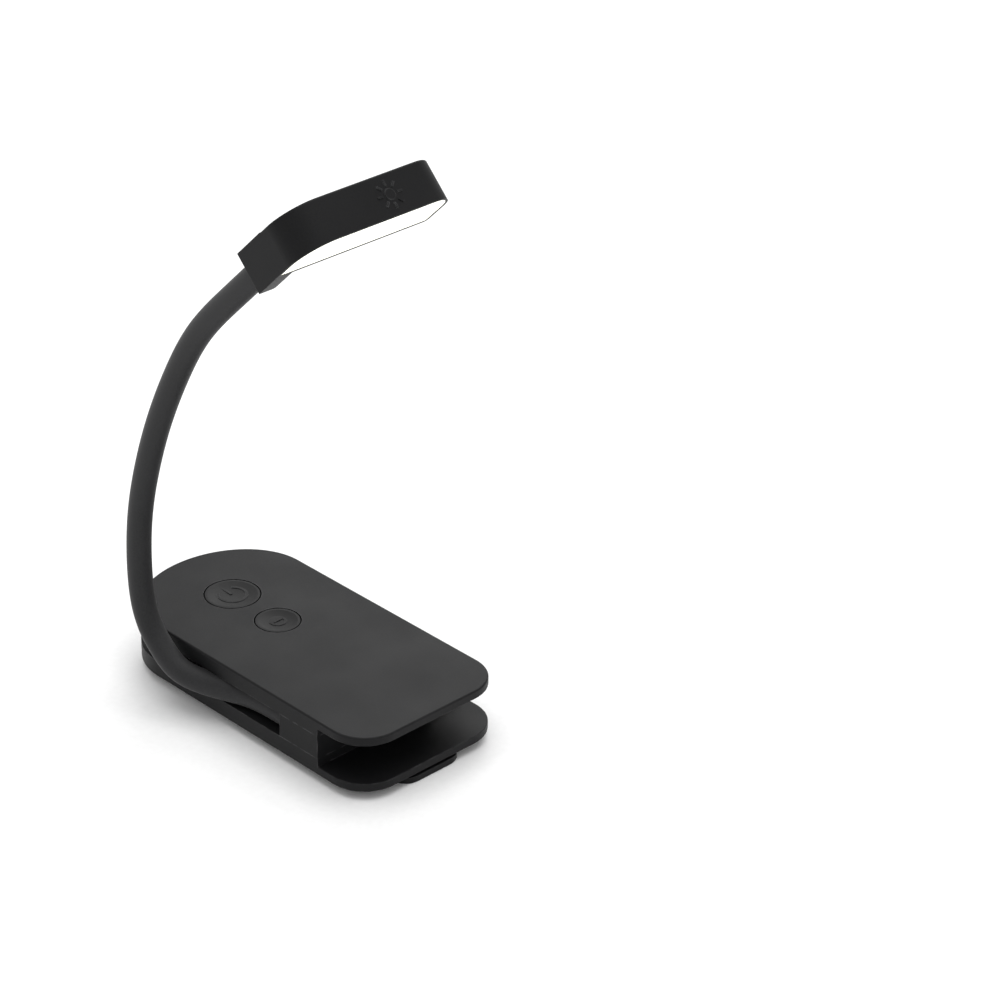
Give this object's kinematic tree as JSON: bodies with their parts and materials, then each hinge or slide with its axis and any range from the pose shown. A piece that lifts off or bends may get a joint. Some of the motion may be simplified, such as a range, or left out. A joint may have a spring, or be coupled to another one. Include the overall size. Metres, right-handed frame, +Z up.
{
  "type": "clip on reading lamp",
  "caption": "Rechargeable clip on reading lamp: flat round-ended base with two buttons and a sprung page clip, bendable gooseneck and an L-shaped bar head with a lit panel.",
  "frame": {"origin": "on the table, under the middle of the base, on the underside of the page clip", "axes": "+X out of the base's open mouth, +Y across the base away from the gooseneck, +Z up"},
  "size_m": [0.0815, 0.0472, 0.1301],
  "materials": {
    "cover_plastic": "fine matte moulded black ABS",
    "button_plastic": "matte moulded black ABS",
    "clip_plastic": "matte moulded black acetal",
    "sleeve_silicone": "satin dark grey silicone",
    "foot_rubber": "matte black rubber",
    "screw_steel": "black zinc plated",
    "pin_steel": "ground steel",
    "spring_steel": "drawn spring wire",
    "core_steel": "annealed steel core",
    "ferrule_steel": "crimped nickel plated steel",
    "socket_steel": "drawn nickel plated shell",
    "switch_plastic": "moulded black nylon",
    "board_green": "green solder mask",
    "board_white": "white solder mask",
    "chip_epoxy": "moulded epoxy",
    "cell_foil": "laminated pouch foil",
    "light_pipe": "clear acrylic",
    "lead_pvc": "PVC insulation",
    "diffuser_opal": "opal acrylic, lit from behind",
    "led_warm": "phosphor, warm",
    "led_cool": "phosphor, cool",
    "liner_white": "moulded white reflector"
  },
  "bodies": {
    "base": {"battery": "cell_foil", "battery_leads": "lead_pvc", "charge_light_pipe": "light_pipe", "control_board": "board_green", "control_chip": "chip_epoxy", "gooseneck_core_1": "core_steel", "gooseneck_sleeve_1": "sleeve_silicone", "housing_screws": "screw_steel", "lower_cover": "cover_plastic", "middle_body": "cover_plastic", "neck_leads": "lead_pvc", "neck_root_ferrule": "ferrule_steel", "page_clip_pin": "pin_steel", "page_clip_spring": "spring_steel", "power_switch": "switch_plastic", "rear_feet": "foot_rubber", "tone_switch": "switch_plastic", "upper_cover": "cover_plastic", "usb_c_port": "socket_steel"},
    "power_button": {"power_button": "button_plastic"},
    "tone_button": {"tone_button": "button_plastic"},
    "page_clip": {"page_clip": "clip_plastic", "page_clip_pad": "foot_rubber"},
    "neck_2": {"gooseneck_sleeve_2": "sleeve_silicone", "gooseneck_core_2": "core_steel"},
    "neck_3": {"gooseneck_sleeve_3": "sleeve_silicone", "gooseneck_core_3": "core_steel"},
    "neck_4": {"gooseneck_sleeve_4": "sleeve_silicone", "gooseneck_core_4": "core_steel"},
    "neck_5": {"gooseneck_sleeve_5": "sleeve_silicone", "gooseneck_core_5": "core_steel"},
    "neck_6": {"gooseneck_sleeve_6": "sleeve_silicone", "gooseneck_core_6": "core_steel"},
    "head": {"gooseneck_sleeve_7": "sleeve_silicone", "gooseneck_core_7": "core_steel", "head_housing": "cover_plastic", "head_ferrule": "ferrule_steel", "diffuser_panel": "diffuser_opal", "led_board": "board_white", "warm_leds": "led_warm", "cool_leds": "led_cool", "reflector_liner": "liner_white"}
  },
  "joints": [
    {"name": "neck_bend_1", "type": "hinge", "parent": "base", "child": "neck_2", "pos_m": [-0.02242, -0.0232, 0.01881], "axis": [0, 1, 0], "range_deg": [-18, 18]},
    {"name": "neck_sway_1", "type": "hinge", "parent": "neck_2", "child": "neck_3", "pos_m": [-0.02415, -0.0232, 0.03655], "axis": [-0.9974, 0, 0.0717], "range_deg": [-18, 18]},
    {"name": "neck_bend_2", "type": "hinge", "parent": "neck_3", "child": "neck_4", "pos_m": [-0.02072, -0.0232, 0.05419], "axis": [0, 1, 0], "range_deg": [-18, 18]},
    {"name": "neck_sway_2", "type": "hinge", "parent": "neck_4", "child": "neck_5", "pos_m": [-0.0144, -0.0232, 0.07103], "axis": [-0.9086, 0, 0.4177], "range_deg": [-18, 18]},
    {"name": "neck_bend_3", "type": "hinge", "parent": "neck_5", "child": "neck_6", "pos_m": [-0.00607, -0.0232, 0.08697], "axis": [0, 1, 0], "range_deg": [-18, 18]},
    {"name": "neck_sway_3", "type": "hinge", "parent": "neck_6", "child": "head", "pos_m": [0.00534, -0.0232, 0.10085], "axis": [-0.7181, 0, 0.696], "range_deg": [-18, 18]},
    {"name": "power_button_press", "type": "slide", "parent": "base", "child": "power_button", "axis": [0, 0, -1], "range_m": [0, 0.0003], "stiffness_N_per_m": 400, "springref_m": -0.001},
    {"name": "tone_button_press", "type": "slide", "parent": "base", "child": "tone_button", "axis": [0, 0, -1], "range_m": [0, 0.0003], "stiffness_N_per_m": 400, "springref_m": -0.001},
    {"name": "page_clip_swing", "type": "hinge", "parent": "base", "child": "page_clip", "pos_m": [-0.00925, 0, 0.001], "axis": [0, 1, 0], "range_deg": [0, 10], "stiffness_Nm_per_rad": 0.1, "springref_deg": -20.05}
  ]
}
